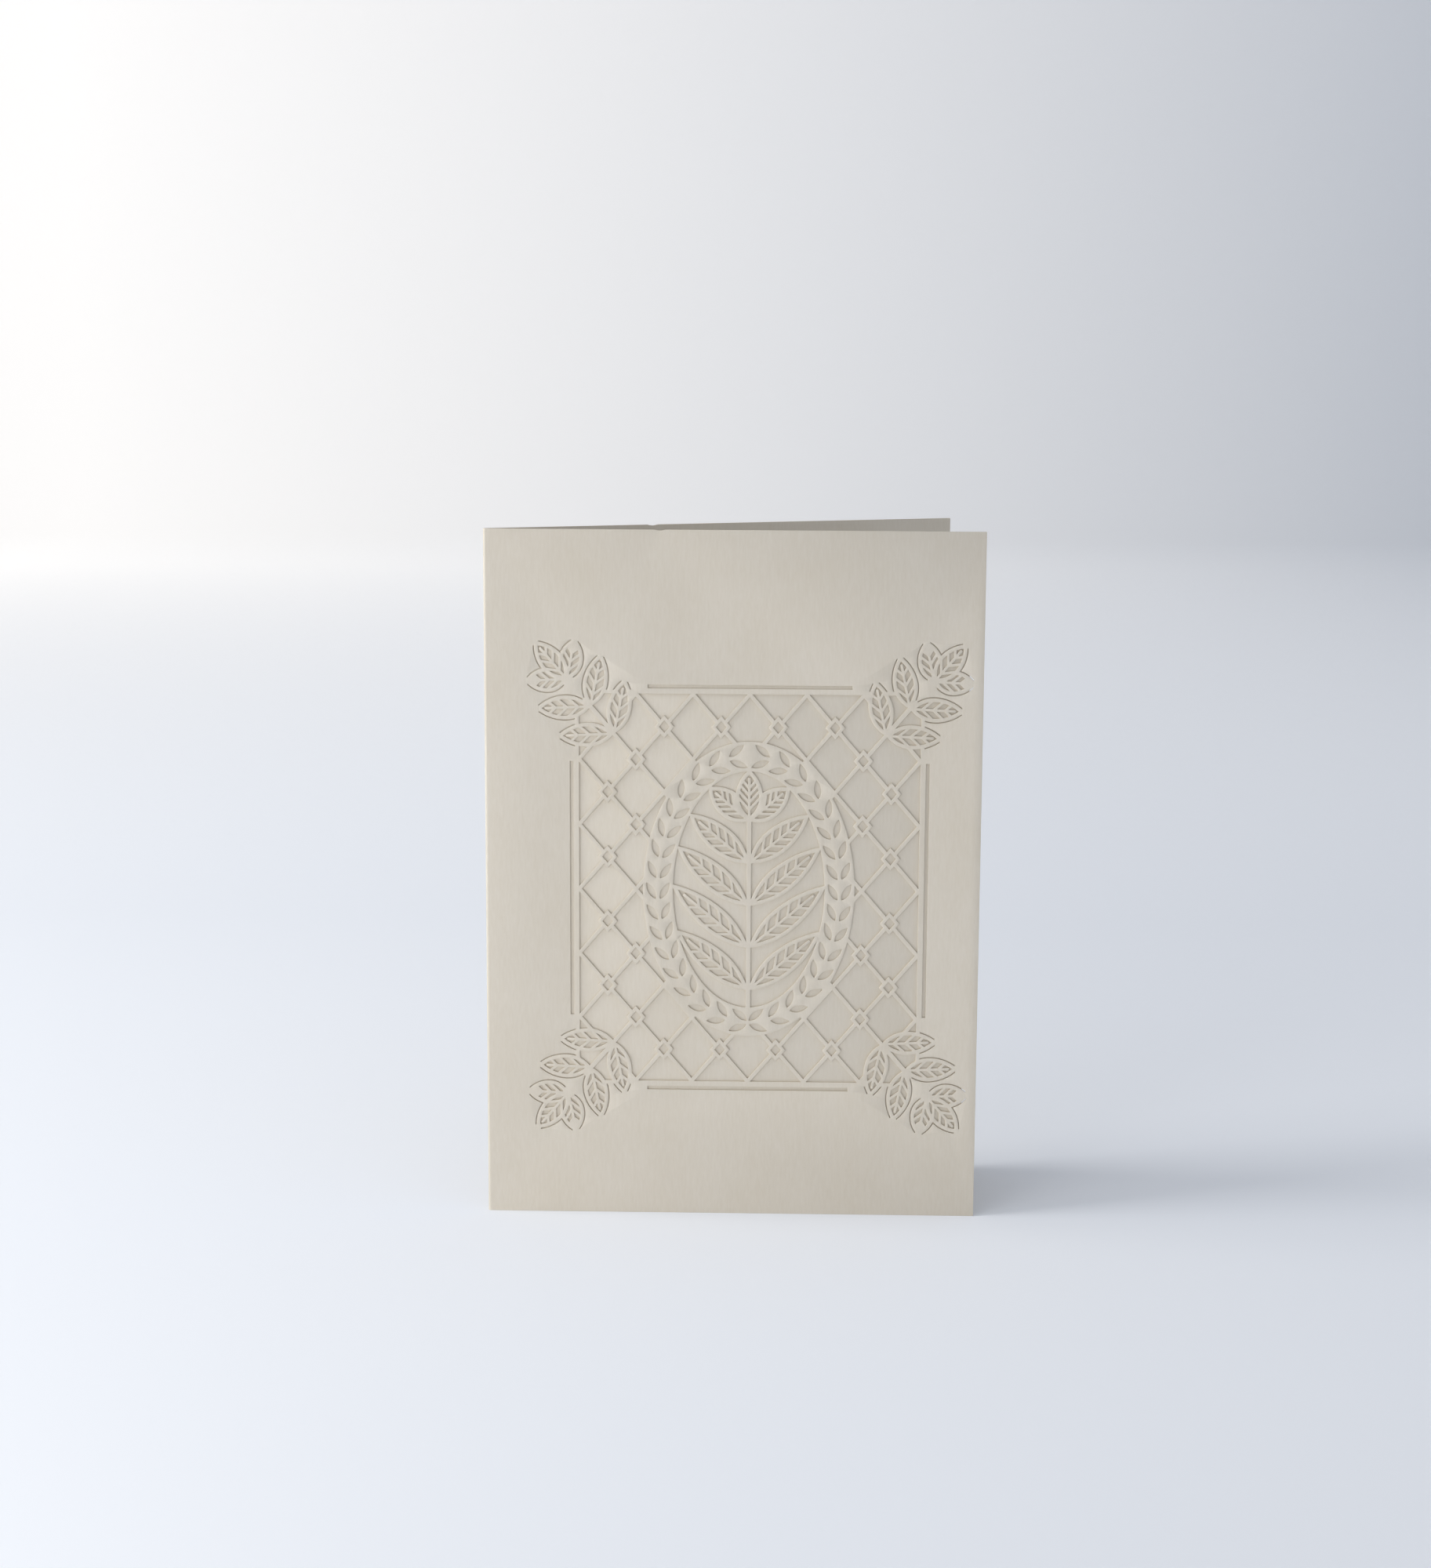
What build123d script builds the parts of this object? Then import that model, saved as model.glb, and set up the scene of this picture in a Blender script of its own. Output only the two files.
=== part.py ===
"""A folded greeting card with a laser-cut front, and the leaf glued behind its openings.

Millimetres, +Z up. The card stands on its lower edges as a narrow V: the front panel lies along X and
faces -Y, the fold is at -X, and the origin is at the middle of the card's box, at table height.

The cut-work is drawn flat, in the front panel's own plane: x across and y up, from the middle of the
framed field.
"""

import math
import os

from build123d import *

# The sheet: an A6 card of 300 g stock, scored and folded once.
PANEL_WIDTH = 105.0
PANEL_HEIGHT = 148.0
CARD_THICKNESS = 0.4
FOLD_INNER_RADIUS = 0.25
OPENING_ANGLE = 18.9

# The plain sheet behind the openings, glued flat to the inside of the front panel.
BACKING_THICKNESS = 0.3
BACKING_MARGIN = 3.0

# The small dent that the holding tab of the cut sheet left in the top edge of each panel.
NICK_FROM_FOLD = 37.0
NICK_WIDTH = 2.2
NICK_DEPTH = 0.2

# The framed field of the cut-work, by its distance from the panel's edges.
FIELD_FROM_FOLD = 20.0
FIELD_FROM_FREE_EDGE = 13.0
FIELD_FROM_TOP = 34.5
FIELD_FROM_BOTTOM = 29.5
FIELD_CORNER_RADIUS = 5.5

# Widths of the paper that is left standing, and of the finest cut.
BAR = 0.85
VEIN = 0.6
KERF = 0.2
SMALLEST_OPENING = 0.3  # square millimetres; anything smaller stays paper
NARROWEST_OPENING = 0.22

# The slits that run along the frame.
FRAME_BAR = 1.2
SLIT_WIDTH = 0.75

# The trellis of upright diamonds, with a small lozenge on each crossing.
DIAMOND_WIDTH = 12.0
DIAMOND_HEIGHT = 14.0
LOZENGE = 2.1
LOZENGE_HOLE = 1.1

# The oval in the middle: a band of leaf-shaped holes between two plain edges.
OVAL_FROM_SIDE = 13.5
OVAL_FROM_TOP = 10.0
BAND_WIDTH = 6.4
BAND_LEAF_PITCH = 4.4
BAND_LEAF_LENGTH = 4.0
BAND_LEAF_HALF_WIDTH = 0.72
BAND_LEAF_TURN = 30.0
BAND_LEAF_SPREAD = 0.45

# The upright sprig inside the oval.
SPRIG_PITCH = 9.2
SPRIG_FOOT = 4.2
SPRIG_TURN = 50.0
SPRIG_HALF_WIDTH = 2.9
STEM = 1.0

# The small sprigs that grow outwards over the corners of the frame.
CORNER_FOOT = 11.3  # along the stem, inside the corner
CORNER_PITCH = 7.6
CORNER_TURN = 52.0
CORNER_LENGTHS = (12.0, 11.5, 8.8)  # the pairs of leaves, from the foot up
CORNER_TOP_LENGTH = 10.5
CORNER_HALF_WIDTH = 2.6
SLIT_FROM_CORNER = 14.5

FIELD_WIDTH = PANEL_WIDTH - FIELD_FROM_FOLD - FIELD_FROM_FREE_EDGE
FIELD_HEIGHT = PANEL_HEIGHT - FIELD_FROM_TOP - FIELD_FROM_BOTTOM
OVAL_X = FIELD_WIDTH / 2 - OVAL_FROM_SIDE
OVAL_Y = FIELD_HEIGHT / 2 - OVAL_FROM_TOP


def heading(degrees):
    """The direction so many degrees clockwise from straight up."""
    turn = math.radians(degrees)
    return Vector(math.sin(turn), math.cos(turn))


def placed(shape, at, degrees=0.0):
    """A flat shape drawn upwards from the origin, moved to a point and turned clockwise."""
    return shape.moved(Location((at.X, at.Y, 0), (0, 0, -degrees)))


def bar_between(start, end, width):
    """A straight bar of paper from one point to another."""
    run = end - start
    turn = math.degrees(math.atan2(run.X, run.Y))
    return placed(Face.make_rect(width, run.length), (start + end) * 0.5, turn)


def leaf_face(length, half_width, belly, inset=0.0):
    """A pointed leaf drawn upwards from the origin, two tangent arcs a side, drawn in by inset."""
    low = (half_width**2 + belly**2) / (2 * half_width)
    high = (half_width**2 + (length - belly) ** 2) / (2 * half_width)
    base = belly - math.sqrt((low - inset) ** 2 - (low - half_width) ** 2)
    tip = belly + math.sqrt((high - inset) ** 2 - (high - half_width) ** 2)
    side = half_width - inset
    return Face(
        Wire(
            [
                RadiusArc((0, base), (side, belly), -(low - inset)),
                RadiusArc((side, belly), (0, tip), -(high - inset)),
                RadiusArc((0, tip), (-side, belly), -(high - inset)),
                RadiusArc((-side, belly), (0, base), -(low - inset)),
            ]
        )
    )


def oval_face(inset=0.0):
    """The oval in the middle of the field, drawn in by inset."""
    return Face(Wire(Edge.make_ellipse(OVAL_X - inset, OVAL_Y - inset)))


def disc_face(centre, radius):
    """A round patch of paper."""
    return placed(Face(Wire(Edge.make_circle(radius))), centre)


def pieces(region, *bars, narrowest=NARROWEST_OPENING):
    """What is left of a flat region between the bars, as separate faces, without the slivers."""
    return [
        face
        for face in region.cut(*bars).faces()
        if face.area > SMALLEST_OPENING and 2 * face.area / face.outer_wire().length > narrowest
    ]


class VeinedLeaf:
    """A leaf drawn in paper: an outline, a midrib and slanted side veins, with openings between."""

    def __init__(self, base, degrees, length, half_width, veins):
        self.base, self.degrees, self.length, self.veins = base, degrees, length, veins
        self.shape = (length, half_width, 0.45 * length)
        self.outer = placed(leaf_face(*self.shape), base, degrees)

    def point(self, along):
        """A point on the midrib, at a share of the leaf's length."""
        return self.base + heading(self.degrees) * (along * self.length)

    def openings(self):
        """The openings between the outline and the veins."""
        inner = placed(leaf_face(*self.shape, inset=BAR), self.base, self.degrees)
        bars = [bar_between(self.point(0), self.point(0.84), VEIN)]
        for i in range(self.veins):
            start = self.point(0.22 + 0.42 * i / max(1, self.veins - 1))
            for side in (-1, 1):
                end = start + heading(self.degrees + side * 42) * (0.5 * self.length)
                bars.append(bar_between(start, end, VEIN))
        return pieces(inner, *bars)

    def kerf(self):
        """The leaf with the hair-line cut around it."""
        return placed(leaf_face(*self.shape, inset=-KERF), self.base, self.degrees)

    def kerf_bridges(self):
        """The paper that crosses the hair-line cut, at the leaf's foot and at its tip."""
        return [disc_face(self.point(0), 1.4), disc_face(self.point(1), 0.9)]


def sprig_leaves():
    """The top leaf and the paired leaves of the sprig, whose tips reach the oval's band."""
    reach_x, reach_y = OVAL_X - BAND_WIDTH + BAR / 2, OVAL_Y - BAND_WIDTH + BAR / 2
    foot = SPRIG_FOOT - reach_y
    pairs = math.floor((reach_y - foot) / SPRIG_PITCH - 0.15)
    top = foot + SPRIG_PITCH * (pairs - 1)
    leaves = [VeinedLeaf(Vector(0, top), 0, reach_y - top, SPRIG_HALF_WIDTH, 4)]
    for i in range(pairs):
        height = foot + SPRIG_PITCH * i
        way = heading(SPRIG_TURN)
        # where the leaf's line meets the oval: a quadratic in the distance from the stem
        a = (way.X / reach_x) ** 2 + (way.Y / reach_y) ** 2
        b = 2 * height * way.Y / reach_y**2
        c = (height / reach_y) ** 2 - 1
        length = (math.sqrt(b * b - 4 * a * c) - b) / (2 * a)
        for side in (-1, 1):
            leaves.append(VeinedLeaf(Vector(0, height), side * SPRIG_TURN, length, SPRIG_HALF_WIDTH, 4))
    return leaves, top


def sprig_openings():
    """The sprig's own openings, and the ones between its leaves inside the oval."""
    leaves, top = sprig_leaves()
    stem = bar_between(Vector(0, -OVAL_Y), Vector(0, top), STEM)
    outers = [leaf.outer for leaf in leaves]
    found = pieces(oval_face(BAND_WIDTH), stem, *outers)
    for i, leaf in enumerate(leaves):
        for opening in leaf.openings():
            found += pieces(opening, stem, *outers[:i])
    return found


def band_openings():
    """The leaf-shaped holes in pairs along the oval's band, rising on both sides to meet at the top."""
    half = BAND_WIDTH / 2
    middle = EllipticalCenterArc((0, 0), OVAL_X - half, OVAL_Y - half, start_angle=-90, arc_size=180)
    steps = round(middle.length / BAND_LEAF_PITCH)
    hole = leaf_face(BAND_LEAF_LENGTH, BAND_LEAF_HALF_WIDTH, 0.45 * BAND_LEAF_LENGTH)
    found = []
    for i in range(steps):
        share = (i + 0.5) / steps
        along = middle.tangent_at(share)
        at = middle.position_at(share) - along * (BAND_LEAF_LENGTH / 2)
        bearing = math.degrees(math.atan2(along.X, along.Y))
        across = heading(bearing + 90) * BAND_LEAF_SPREAD
        for side in (-1, 1):
            right = placed(hole, at + across * side, bearing + side * BAND_LEAF_TURN)
            found += [right, right.mirror(Plane.YZ)]
    return found


def trellis_steps():
    """The width and height of one diamond of the trellis, with whole diamonds across the field."""
    across = 2 * max(1, round(FIELD_WIDTH / DIAMOND_WIDTH / 2))
    up = 2 * max(1, round(FIELD_HEIGHT / DIAMOND_HEIGHT / 2))
    return across, up, FIELD_WIDTH / across, FIELD_HEIGHT / up


def corner_sprig(side_x, side_y):
    """The stem of one corner's sprig, which lies on a bar of the trellis, and its leaves."""
    step_x, step_y = trellis_steps()[2:]
    outward = math.degrees(math.atan2(side_x * step_x, side_y * step_y))
    corner = Vector(side_x * FIELD_WIDTH / 2, side_y * FIELD_HEIGHT / 2)
    foot = corner - heading(outward) * CORNER_FOOT
    top = foot + heading(outward) * (CORNER_PITCH * (len(CORNER_LENGTHS) - 1))
    leaves = [VeinedLeaf(top, outward, CORNER_TOP_LENGTH, CORNER_HALF_WIDTH, 3)]
    for i, length in enumerate(CORNER_LENGTHS):
        base = foot + heading(outward) * (CORNER_PITCH * i)
        for side in (-1, 1):
            leaves.append(VeinedLeaf(base, outward + side * CORNER_TURN, length, CORNER_HALF_WIDTH, 3))
    return bar_between(foot, top, STEM), leaves


def field_face(margin=0.0):
    """The framed field with its rounded corners, or a margin more on every side."""
    width, height = FIELD_WIDTH + 2 * margin, FIELD_HEIGHT + 2 * margin
    return RectangleRounded(width, height, FIELD_CORNER_RADIUS + margin).face()


def corner_openings():
    """The openings of the four corner sprigs, their hair-line cuts, and the paper that they cover."""
    found, paper = [], []
    framed = field_face(margin=BAR)
    for side_x in (-1, 1):
        for side_y in (-1, 1):
            stem, leaves = corner_sprig(side_x, side_y)
            outers = [leaf.outer for leaf in leaves]
            for i, leaf in enumerate(leaves):
                for opening in leaf.openings():
                    found += pieces(opening, stem, *outers[:i])
            kerfs = leaves[0].kerf().fuse(*[leaf.kerf() for leaf in leaves[1:]])
            bridges = [bridge for leaf in leaves for bridge in leaf.kerf_bridges()]
            found += pieces(kerfs, framed, *outers, *bridges, narrowest=KERF / 2)
            paper += [stem, *outers]
    return found, paper


def trellis_bars():
    """The bars of the trellis over the whole field, and the places where they cross."""
    across, up, step_x, step_y = trellis_steps()
    reach = max(across, up)
    bars, crossings = [], []
    for k in range(-reach, reach + 1):
        for side in (-1, 1):
            run = Vector(side * step_x * reach, step_y * reach)
            middle = Vector(k * step_x, 0)
            bars.append(bar_between(middle - run, middle + run, BAR))
    for i in range(-across, across + 1):
        for j in range(-up, up + 1):
            at = Vector(i * step_x / 2, j * step_y / 2)
            if (i + j) % 2 == 0 and abs(i) < across and abs(j) < up:
                crossings.append(at)
    return bars, crossings, step_y / step_x


def lozenge_face(centre, half_width, slope):
    """A small upright diamond, of the trellis's own slope."""
    tall = half_width * slope
    corners = [(half_width, 0), (0, tall), (-half_width, 0), (0, -tall)]
    return placed(Face(Wire.make_polygon([(x, y, 0) for x, y in corners])), centre)


def trellis_openings(paper):
    """The openings of the trellis, around the oval and the corner sprigs."""
    bars, crossings, slope = trellis_bars()
    kept = paper + [oval_face()]
    plates, holes = [], []
    for at in crossings:
        plate = lozenge_face(at, LOZENGE, slope)
        left = pieces(plate, *kept)
        if len(left) == 1 and left[0].area > 0.99 * plate.area:
            plates.append(plate)
            holes.append(lozenge_face(at, LOZENGE_HOLE, slope))
    return pieces(field_face(), *kept, *bars, *plates) + holes


def slits():
    """The slits outside the four sides of the frame, between the corner sprigs."""
    found = []
    for side in (-1, 1):
        x = side * (FIELD_WIDTH / 2 + FRAME_BAR + SLIT_WIDTH / 2)
        y = side * (FIELD_HEIGHT / 2 + FRAME_BAR + SLIT_WIDTH / 2)
        half_x, half_y = FIELD_WIDTH / 2 - SLIT_FROM_CORNER, FIELD_HEIGHT / 2 - SLIT_FROM_CORNER
        found.append(bar_between(Vector(-half_x, y), Vector(half_x, y), SLIT_WIDTH))
        found.append(bar_between(Vector(x, -half_y), Vector(x, half_y), SLIT_WIDTH))
    return found


def cut_work():
    """Every opening of the front panel, drawn about the middle of the field."""
    corners, paper = corner_openings()
    return corners + slits() + band_openings() + sprig_openings() + trellis_openings(paper)


# --- the folded sheet ---------------------------------------------------------------------------------
FOLD_OUTER_RADIUS = FOLD_INNER_RADIUS + CARD_THICKNESS
FLAT_WIDTH = PANEL_WIDTH - FOLD_OUTER_RADIUS  # from the fold's centre line to the free edge
DEPTH = (
    FOLD_OUTER_RADIUS
    + FLAT_WIDTH * math.sin(math.radians(OPENING_ANGLE))
    + FOLD_OUTER_RADIUS * math.cos(math.radians(OPENING_ANGLE))
)
FOLD_X = FOLD_OUTER_RADIUS - PANEL_WIDTH / 2
FOLD_Y = FOLD_OUTER_RADIUS - DEPTH / 2


def panel_face(holes=()):
    """A panel laid flat, from the fold's centre line to the free edge, with the nick in its top edge."""
    nick = NICK_FROM_FOLD - FOLD_OUTER_RADIUS
    top = PANEL_HEIGHT
    outline = Wire(
        [
            Line((0, 0), (FLAT_WIDTH, 0)),
            Line((FLAT_WIDTH, 0), (FLAT_WIDTH, top)),
            Line((FLAT_WIDTH, top), (nick + NICK_WIDTH / 2, top)),
            ThreePointArc(
                (nick + NICK_WIDTH / 2, top), (nick, top - NICK_DEPTH), (nick - NICK_WIDTH / 2, top)
            ),
            Line((nick - NICK_WIDTH / 2, top), (0, top)),
            Line((0, top), (0, 0)),
        ]
    )
    return Face(outline, [hole.outer_wire() for hole in holes])


def front_plane():
    """The outer face of the front panel: x from the fold's centre line, y up, facing -Y."""
    return Plane(origin=(FOLD_X, FOLD_Y - FOLD_OUTER_RADIUS, 0), x_dir=(1, 0, 0), z_dir=(0, -1, 0))


def back_plane():
    """The inner face of the back panel: x from the fold's centre line, y up, facing into the V."""
    turn = math.radians(OPENING_ANGLE)
    along, out = (math.cos(turn), math.sin(turn)), (-math.sin(turn), math.cos(turn))
    start = (FOLD_X + FOLD_INNER_RADIUS * out[0], FOLD_Y + FOLD_INNER_RADIUS * out[1], 0)
    return Plane(origin=start, x_dir=(along[0], along[1], 0), z_dir=(-out[0], -out[1], 0))


def sheet(face, plane, thickness):
    """A flat face as a sheet of paper, its thickness behind the plane's face."""
    return extrude(plane * face, amount=thickness, dir=-plane.z_dir)


def fold():
    """The rounded fold, round which the sheet turns from the back panel to the front one."""
    start, end = 90 + OPENING_ANGLE, 270
    outer = CenterArc((0, 0), FOLD_OUTER_RADIUS, start, end - start)
    inner = CenterArc((0, 0), FOLD_INNER_RADIUS, start, end - start)
    ends = [Line(outer @ 0, inner @ 0), Line(outer @ 1, inner @ 1)]
    section = Face(Wire([outer, ends[1], inner, ends[0]]))
    return extrude(section.moved(Location((FOLD_X, FOLD_Y, 0))), amount=PANEL_HEIGHT, dir=(0, 0, 1))


def cover():
    """The folded sheet: the cut front panel, the fold and the plain back panel, all one piece."""
    middle = Vector(
        FIELD_FROM_FOLD + FIELD_WIDTH / 2 - FOLD_OUTER_RADIUS, FIELD_FROM_BOTTOM + FIELD_HEIGHT / 2
    )
    holes = [placed(opening, middle) for opening in cut_work()]
    print("openings in the front panel:", len(holes))
    front = sheet(panel_face(holes), front_plane(), CARD_THICKNESS)
    back = sheet(panel_face(), back_plane(), CARD_THICKNESS)
    return front.fuse(fold(), back)


def backing_sheet():
    """The plain sheet behind the openings, set in from the front panel's four edges."""
    width, height = PANEL_WIDTH - 2 * BACKING_MARGIN, PANEL_HEIGHT - 2 * BACKING_MARGIN
    middle = Vector(PANEL_WIDTH / 2 - FOLD_OUTER_RADIUS, PANEL_HEIGHT / 2)
    behind = front_plane().offset(-CARD_THICKNESS)
    return sheet(placed(Face.make_rect(width, height), middle), behind, BACKING_THICKNESS)


def main():
    os.makedirs("parts", exist_ok=True)
    for name, shape in (("cover", cover()), ("backing_sheet", backing_sheet())):
        print(name, "volume", round(shape.volume, 1), "mm3, solids", len(shape.solids()))
        export_step(shape, f"parts/{name}.step")


main()
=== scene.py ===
# %% [markdown]
# # A folded card of pearlescent paper with a cut-work front
#
# The card is one folded sheet that stands as a narrow V, and a plain sheet glued flat behind the openings
# of its front panel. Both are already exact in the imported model, down to every opening, so this lesson adds
# what a solid lacks: edges that catch the light, and paper that looks like paper.
#
# Everything is in metres. The front panel lies along X and faces -Y, and the fold is at -X.

from math import cos, radians, sin

import bmesh
import bpy
from mathutils import Matrix, Vector


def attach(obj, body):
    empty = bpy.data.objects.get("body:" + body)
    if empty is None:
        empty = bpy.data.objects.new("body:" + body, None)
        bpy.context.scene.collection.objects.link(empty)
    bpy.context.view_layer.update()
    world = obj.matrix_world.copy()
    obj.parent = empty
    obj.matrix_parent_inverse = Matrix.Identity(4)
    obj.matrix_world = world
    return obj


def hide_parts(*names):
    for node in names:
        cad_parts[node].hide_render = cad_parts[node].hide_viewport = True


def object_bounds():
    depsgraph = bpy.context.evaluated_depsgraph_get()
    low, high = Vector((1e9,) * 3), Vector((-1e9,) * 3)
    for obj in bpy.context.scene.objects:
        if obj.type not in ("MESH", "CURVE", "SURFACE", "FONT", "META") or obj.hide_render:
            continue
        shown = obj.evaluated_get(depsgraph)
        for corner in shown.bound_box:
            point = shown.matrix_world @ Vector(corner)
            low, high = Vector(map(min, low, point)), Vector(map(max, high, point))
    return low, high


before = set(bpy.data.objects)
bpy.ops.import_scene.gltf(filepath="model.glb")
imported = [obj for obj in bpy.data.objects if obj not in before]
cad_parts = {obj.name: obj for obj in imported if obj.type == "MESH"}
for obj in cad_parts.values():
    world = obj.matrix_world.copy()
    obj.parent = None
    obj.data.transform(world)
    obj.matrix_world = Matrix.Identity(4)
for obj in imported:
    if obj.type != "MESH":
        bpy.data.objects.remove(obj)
CAD_BOX = [list(corner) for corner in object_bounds()]
LOW, HIGH = (Vector(corner) for corner in CAD_BOX)
MM = 0.001
print("card box in mm:", [round((HIGH[i] - LOW[i]) / MM, 2) for i in range(3)])

# %% [markdown]
# ## Two helpers
#
# Operators act on whatever is selected. So each piece starts with everything deselected, and is then the
# only thing selected and active. The copy of a node's mesh is welded before anything is done to it.


# %% Select one thing
def only(piece):
    """Make one object the only selected one, and the active one."""
    bpy.ops.object.select_all(action="DESELECT")
    piece.select_set(True)
    bpy.context.view_layer.objects.active = piece
    return piece


# %% Copy a node's mesh
def copy_of(node, name):
    """A new piece with its own copy of a node's mesh, welded, with even triangles on its flat faces."""
    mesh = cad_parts[node].data.copy()
    piece = bpy.data.objects.new(name, mesh)
    bpy.context.scene.collection.objects.link(piece)
    piece.data.materials.clear()
    only(piece)
    bpy.ops.object.mode_set(mode="EDIT")
    bpy.ops.mesh.select_all(action="SELECT")
    bpy.ops.mesh.remove_doubles(threshold=0.0005 * MM)
    bpy.ops.mesh.customdata_custom_splitnormals_clear()
    bpy.ops.mesh.beautify_fill(angle_limit=radians(1))
    bpy.ops.object.mode_set(mode="OBJECT")
    print(name, "welded:", len(mesh.vertices), "vertices,", len(mesh.polygons), "faces")
    return piece


# %% [markdown]
# ## The folded sheet
#
# A laser leaves the rim of an opening very slightly rounded, and so does a guillotine on the outer edges.
# That rounding is only about a tenth of a millimetre, but it is what a low light picks out: each bar of the
# lattice gets a bright line along the side that faces the lamp. A Bevel modifier that acts on sharp edges
# alone rounds all of them at once, and leaves the fold, which is already round, as it is. The leaf behind
# shows little of its own edge, so it takes half the rounding.

# %% Round the cut edges
RIM = 0.09 * MM
BACKING_RIM = RIM / 2
SHARP = radians(50)
SMOOTH = radians(35)


def soften_rims(piece, width, segments=2):
    """Round every sharp edge of a sheet, and shade the rest smooth."""
    only(piece)
    rims = piece.modifiers.new("rims", "BEVEL")
    rims.width = width
    rims.segments = segments
    rims.limit_method = "ANGLE"
    rims.angle_limit = SHARP
    rims.use_clamp_overlap = False
    rims.loop_slide = False
    bpy.ops.object.modifier_apply(modifier=rims.name)
    bpy.ops.object.shade_smooth_by_angle(angle=SMOOTH)
    print(piece.name, "after rounding:", len(piece.data.polygons), "faces")
    return piece


folded_sheet = soften_rims(copy_of("cover", "folded_sheet"), RIM)
backing = soften_rims(copy_of("backing_sheet", "backing"), BACKING_RIM)

# %% [markdown]
# ## A small language for materials
#
# Shader maths reads best as arithmetic. `Value` wraps an output socket and turns Python's operators into
# Math nodes; `Paint` makes any other node from its type, its settings and its inputs.


# %% Shader maths as expressions
class Value:
    """An output socket that can be added, multiplied and compared in Python."""

    def __init__(self, paint, socket):
        self.paint, self.socket = paint, socket

    def maths(self, operation, *others):
        inputs = {i: x for i, x in enumerate((self, *others))}
        return self.paint.node("ShaderNodeMath", {"operation": operation}, inputs)

    def __add__(self, other):
        return self.maths("ADD", other)

    def __sub__(self, other):
        return self.maths("SUBTRACT", other)

    def __rsub__(self, other):
        """A number less this value."""
        return self.paint.node("ShaderNodeMath", {"operation": "SUBTRACT"}, {0: other, 1: self})

    def __mul__(self, other):
        return self.maths("MULTIPLY", other)

    def clamped(self):
        """The value kept between 0 and 1."""
        return self.paint.node("ShaderNodeClamp", {}, {"Value": self})

    __radd__, __rmul__ = __add__, __mul__


class Paint:
    """One material, and the nodes that are added to it."""

    def __init__(self, name):
        self.material = bpy.data.materials.new(name)
        self.material.use_nodes = True
        self.tree = self.material.node_tree
        self.tree.nodes.clear()

    def node(self, kind, settings, inputs, output=0):
        """Add a node: its settings first, then its inputs, which are numbers, colours or other outputs."""
        made = self.tree.nodes.new(kind)
        for key, value in settings.items():
            setattr(made, key, value)
        for key, value in inputs.items():
            if isinstance(value, Value):
                self.tree.links.new(value.socket, made.inputs[key])
            else:
                made.inputs[key].default_value = value
        return Value(self, made.outputs[output])

    def place(self, scale):
        """The piece's own coordinates, stretched by a scale in each direction."""
        at = self.node("ShaderNodeTexCoord", {}, {}, "Object")
        return self.node("ShaderNodeMapping", {}, {"Vector": at, "Scale": scale})

    def noise(self, scale, detail=2.0, roughness=0.5):
        """Soft random variation between 0 and 1, its grain set by a scale in each direction."""
        inputs = {"Vector": self.place(scale), "Scale": 1.0, "Detail": detail, "Roughness": roughness}
        return self.node("ShaderNodeTexNoise", {}, inputs)

    def blend(self, share, first, second):
        """One colour turning into another."""
        made = self.tree.nodes.new("ShaderNodeMix")
        made.data_type = "RGBA"
        for key, value in ((0, share), (6, first), (7, second)):
            if isinstance(value, Value):
                self.tree.links.new(value.socket, made.inputs[key])
            else:
                made.inputs[key].default_value = value
        return Value(self, made.outputs[2])

    def surface(self, shader):
        """Finish the material with this shader."""
        end = self.tree.nodes.new("ShaderNodeOutputMaterial")
        self.tree.links.new(shader.socket, end.inputs["Surface"])
        return self.material


def colour(red, green, blue):
    """A pale colour as painters' charts give it, from 0 to 255, in the shader's linear terms."""
    shares = (level / 255 for level in (red, green, blue))
    return (*(((share + 0.055) / 1.055) ** 2.4 for share in shares), 1.0)


# %% [markdown]
# ## Pearlescent paper
#
# The stock is cream with a faint pearly coat. Close to, it has fine fibres that run up the sheet, a little
# cloudiness, and a tooth that breaks up the light. Both sheets are cut from the same stock.

# %% Mix the papers
CREAM = colour(222, 213, 198)
CREAM_DEEP = colour(212, 201, 182)
EDGE_TONE = colour(212, 196, 164)


def paper(name, light, deep):
    """The paper's colour, tooth and sheen, before it is finished."""
    paint = Paint(name)
    fibres = paint.noise((2600, 2600, 420), detail=3.0, roughness=0.6)
    clouds = paint.noise((55, 55, 40), detail=2.0)
    tooth = paint.noise((5200, 5200, 3400), detail=2.0, roughness=0.7)
    share = ((fibres - 0.5) * 0.9 + (clouds - 0.5) * 0.8 + 0.45).clamped()
    tone = paint.blend(share, light, deep)
    height = fibres * 0.6 + tooth * 0.4
    bump = paint.node("ShaderNodeBump", {}, {"Strength": 0.22, "Distance": 0.05 * MM, "Height": height})
    roughness = fibres * 0.16 + 0.42
    return paint, tone, bump, roughness


def finish_paper(paint, tone, bump, roughness):
    """The paper's shader: satin, with a thin pearly coat."""
    inputs = {
        "Base Color": tone,
        "Roughness": roughness,
        "Normal": bump,
        "Specular IOR Level": 0.45,
        "Coat Weight": 0.12,
        "Coat Roughness": 0.35,
    }
    return paint.surface(paint.node("ShaderNodeBsdfPrincipled", {}, inputs))


backing_paper = finish_paper(*paper("backing_paper", CREAM, CREAM_DEEP))
cover_paper = finish_paper(*paper("cover_paper", CREAM, CREAM_DEEP))
print("papers mixed:", cover_paper.name, backing_paper.name)

# %% [markdown]
# ## The cut edge
#
# Where the sheet is cut through, its core shows: a plain matt tone without the pearly coat, slightly warmer
# from the laser. Only the faces that stand across the sheet get it, so they are picked by their normals.


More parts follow.
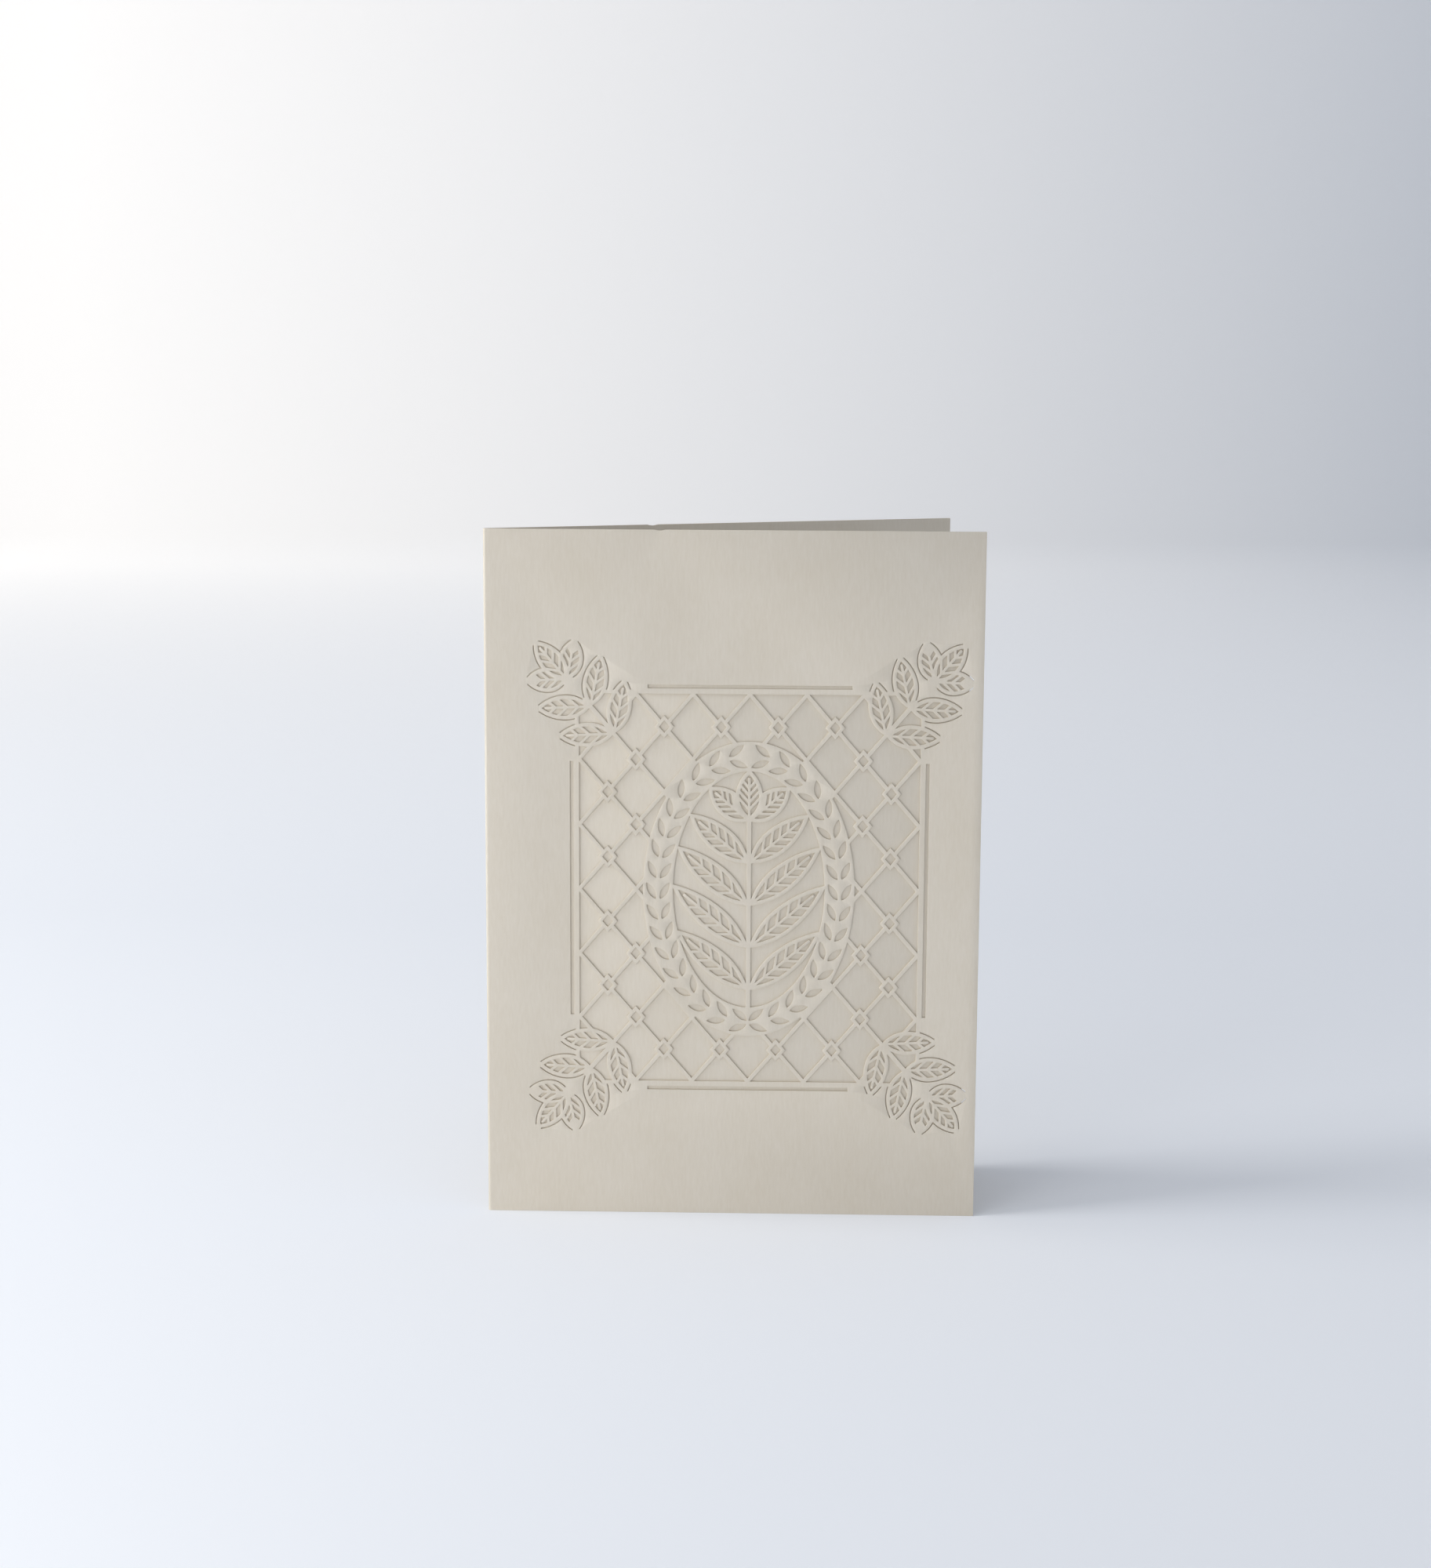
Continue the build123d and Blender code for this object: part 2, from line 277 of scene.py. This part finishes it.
# %% Give the cut edges their own tone
def edge_paper():
    """The core of the sheet, matt and slightly warm."""
    paint = Paint("cut_edge")
    grain = paint.noise((4000, 4000, 4000), detail=2.0)
    tone = paint.blend(grain, EDGE_TONE, CREAM)
    inputs = {"Base Color": tone, "Roughness": 0.8}
    return paint.surface(paint.node("ShaderNodeBsdfPrincipled", {}, inputs))


cut_edge = edge_paper()
backing.data.materials.append(backing_paper)
backing.data.materials.append(cut_edge)
folded_sheet.data.materials.append(cover_paper)
folded_sheet.data.materials.append(cut_edge)

OPENING_ANGLE = radians(18.9)
FOLD_REACH = 1.2 * MM
ACROSS = 0.3
PANEL_NORMALS = (Vector((0, 1, 0)), Vector((-sin(OPENING_ANGLE), cos(OPENING_ANGLE), 0)))


def tone_edges(piece, normals):
    """Material 1 on the faces that stand across every panel of a sheet, apart from the round of the fold."""
    count = 0
    for face in piece.data.polygons:
        fold = abs(face.normal.z) < 0.5 and face.center.x < LOW.x + FOLD_REACH
        if max(abs(face.normal.dot(n)) for n in normals) < ACROSS and not fold:
            face.material_index = 1
            count += 1
    print(piece.name, "cut-edge faces:", count)


tone_edges(folded_sheet, PANEL_NORMALS)
tone_edges(backing, PANEL_NORMALS[:1])

# %% Attach the pieces to the root body and hide the imported parts
for piece, node, finish in (
    (folded_sheet, "cover", "cover_paper"),
    (backing, "backing_sheet", "backing_paper"),
):
    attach(piece, "root")
    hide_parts(node)

# %% [markdown]
# ## Table and backdrop
#
# A photographer's sweep: the table runs back and curves up into the wall, so that no horizon shows.

# %% Model the sweep
SWEEP_HALF_WIDTH = 2.2
SWEEP_FRONT = -1.4
SWEEP_BACK = 1.6
WALL_HEIGHT = 2.2
CURVE_RADIUS = 0.8
CURVE_STEPS = 24
NEAR = 0.01


def select_edges(piece, wanted):
    """Select the edges whose two ends both pass a test."""
    bpy.ops.mesh.select_all(action="DESELECT")
    shape = bmesh.from_edit_mesh(piece.data)
    for edge in shape.edges:
        edge.select = all(wanted(end.co) for end in edge.verts)
    bmesh.update_edit_mesh(piece.data)


bpy.ops.object.select_all(action="DESELECT")
bpy.ops.mesh.primitive_plane_add(size=1)
sweep = bpy.context.active_object
sweep.name = "sweep"
sweep.scale = (2 * SWEEP_HALF_WIDTH, SWEEP_BACK - SWEEP_FRONT, 1)
sweep.location = (0, (SWEEP_BACK + SWEEP_FRONT) / 2, 0)
bpy.ops.object.transform_apply(location=True, rotation=True, scale=True)
bpy.ops.object.mode_set(mode="EDIT")
select_edges(sweep, lambda at: at.y > SWEEP_BACK - NEAR)
bpy.ops.mesh.extrude_region_move(TRANSFORM_OT_translate={"value": (0, 0, WALL_HEIGHT)})
select_edges(sweep, lambda at: at.y > SWEEP_BACK - NEAR and at.z < NEAR)
bpy.ops.mesh.bevel(offset=CURVE_RADIUS, segments=CURVE_STEPS)
bpy.ops.object.mode_set(mode="OBJECT")
bpy.ops.object.shade_smooth()
print("sweep faces:", len(sweep.data.polygons))

# %% Paint the sweep
sweep_paint = Paint("sweep_white_with_painted_light")
plain = {"Base Color": colour(248, 249, 251), "Roughness": 0.9}
lit_by_lamps = sweep_paint.node("ShaderNodeBsdfPrincipled", {}, plain)

# %% [markdown]
# The wall has painted light on it: a glow, brightest at the left and fading to none at the right and towards
# the front, stands in for the lamp's light there. Only a camera, a reflection or a view through glass sees
# this painted light, so it adds no light to the card.

# %% Paint light on the wall for the camera
NO_PAINTED_LIGHT = (0, 0, 0, 1)
PAINTED_LEFT_LIGHT = (0.52, 0.48, 0.42, 1)

plain_place = sweep_paint.place((1, 1, 1))
across, depth = (
    sweep_paint.node("ShaderNodeSeparateXYZ", {}, {0: plain_place}, axis) for axis in ("X", "Y")
)
towards_left = (0.5 - across * 0.95).clamped()
on_the_wall = (depth * 0.9 - 0.25).clamped()
# Painted light: the glow fades from the left of the wall to nothing at the right and towards the front.
painted_wall_light = sweep_paint.blend(towards_left * on_the_wall, NO_PAINTED_LIGHT, PAINTED_LEFT_LIGHT)
wall_with_painted_light = sweep_paint.node(
    "ShaderNodeBsdfPrincipled", {}, {**plain, "Emission Color": painted_wall_light, "Emission Strength": 1.0}
)
rays = [
    sweep_paint.node("ShaderNodeLightPath", {}, {}, name)
    for name in ("Is Camera Ray", "Is Glossy Ray", "Is Transmission Ray")
]
seen = (rays[0] + rays[1] + rays[2]).clamped()
sweep.data.materials.append(
    sweep_paint.surface(sweep_paint.node("ShaderNodeMixShader", {}, {0: seen, 1: lit_by_lamps, 2: wall_with_painted_light}))
)
print("sweep painted")

# %% [markdown]
# ## Light
#
# One broad lamp stands at the left, only a little in front of the card's face, so it rakes across the
# paper and brings out every cut. A low, weak one in front lifts the lower left corner, as a white table
# does. A pale, cool surrounding light fills the shadows.


# %% Set the lamps
def softbox(name, at, target, width, height, power, tint=(1, 1, 1)):
    """A rectangular lamp that faces a point."""
    light = bpy.data.lights.new(name, "AREA")
    light.shape = "RECTANGLE"
    light.size, light.size_y = width, height
    light.energy = power
    light.color = tint
    lamp = bpy.data.objects.new(name, light)
    bpy.context.scene.collection.objects.link(lamp)
    lamp.location = at
    lamp.rotation_euler = (Vector(target) - Vector(at)).to_track_quat("-Z", "Y").to_euler()
    return lamp


ROOM_TINT = (0.86, 0.91, 1.0, 1.0)
ROOM_STRENGTH = 0.6

softbox("key", (-0.85, -0.13, 0.52), (0.0, 0.0, 0.06), 0.5, 0.6, 4.9)
softbox("bounce", (-0.30, -0.40, 0.03), (-0.08, 0.0, -0.03), 0.3, 0.1, 0.55, (1.0, 0.985, 0.95))

world = bpy.data.worlds.new("room")
bpy.context.scene.world = world
world.use_nodes = True
world.node_tree.nodes["Background"].inputs["Color"].default_value = ROOM_TINT
world.node_tree.nodes["Background"].inputs["Strength"].default_value = ROOM_STRENGTH
print("lamps set, room strength", ROOM_STRENGTH)

# %% [markdown]
# ## Camera
#
# A short telephoto from just above the card's top edge, almost square on to the front panel. Its place is
# given from the foot of the fold.

# %% Place the camera
FOLD_FOOT = Vector((LOW.x, LOW.y, 0))
FROM_FOLD = Vector((0.0631, -0.6098, 0.2006))
LENS, SENSOR = 67.3, 36
LOOKING_DOWN = 9.88
TURN, PITCH, ROLL = radians(1.34), radians(90 - LOOKING_DOWN), radians(0.28)

camera_data = bpy.data.cameras.new("camera")
camera_data.sensor_width = SENSOR
camera_data.lens = LENS
camera = bpy.data.objects.new("camera", camera_data)
bpy.context.scene.collection.objects.link(camera)
aim = Matrix.Rotation(TURN, 4, "Z") @ Matrix.Rotation(PITCH, 4, "X") @ Matrix.Rotation(ROLL, 4, "Z")
camera.matrix_world = Matrix.Translation(FOLD_FOOT + FROM_FOLD) @ aim
bpy.context.scene.camera = camera
bpy.context.scene.view_settings.view_transform = "Standard"
